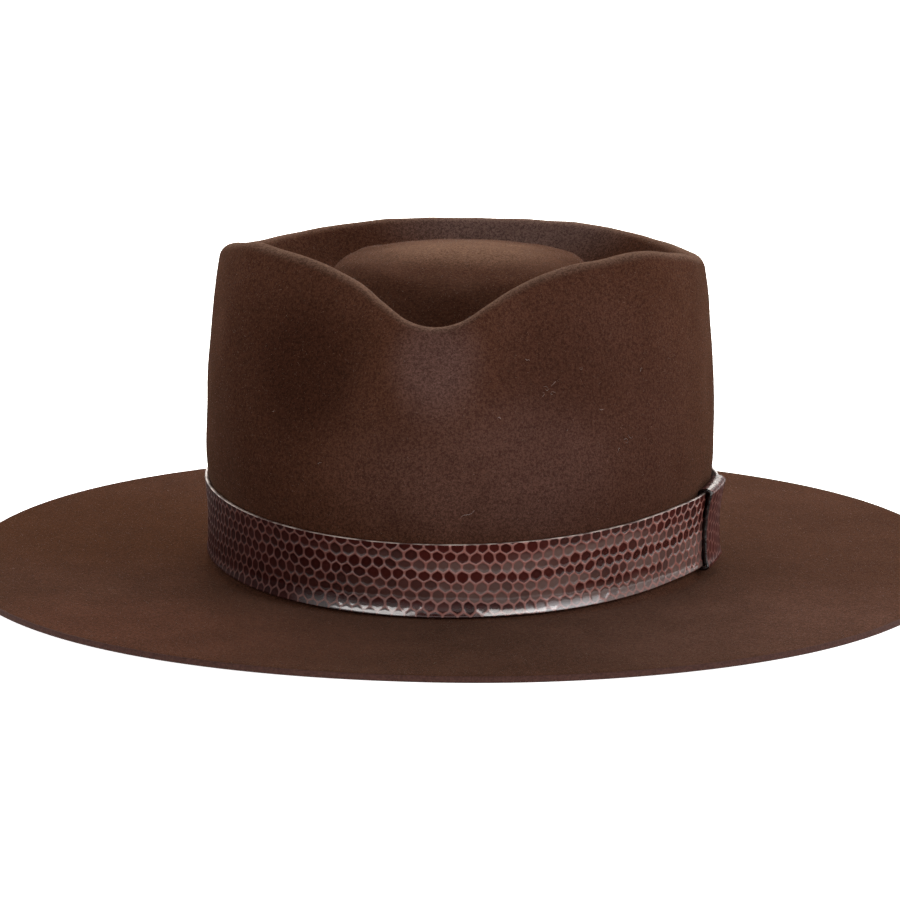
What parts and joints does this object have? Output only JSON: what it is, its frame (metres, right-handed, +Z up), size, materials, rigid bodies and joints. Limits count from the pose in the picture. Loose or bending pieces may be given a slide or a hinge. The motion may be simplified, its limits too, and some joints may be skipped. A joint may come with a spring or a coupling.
{
  "type": "wide-brim fedora hat",
  "caption": "Wide-brim felt fedora with a pinched teardrop crown, a flat brim and a glossy scale-grain leather band held by a leather keeper.",
  "frame": {"origin": "centre of the head opening, on the plane that the brim rests on", "axes": "+Z up; the front of the hat, with the pinch, faces -Y; +X is the right-hand side of someone who looks at the front, where the keeper is"},
  "size_m": [0.3458, 0.3794, 0.1185],
  "materials": {
    "felt": "dark brown fur felt with a short soft nap, matte",
    "band_leather": "dark maroon leather with a raised lizard-scale grain, glossy",
    "keeper_leather": "the same scale-grain leather with black painted cut edges, glossy"
  },
  "bodies": {
    "root": {"felt_body": "felt", "hat_band": "band_leather", "band_keeper": "keeper_leather"}
  },
  "joints": []
}
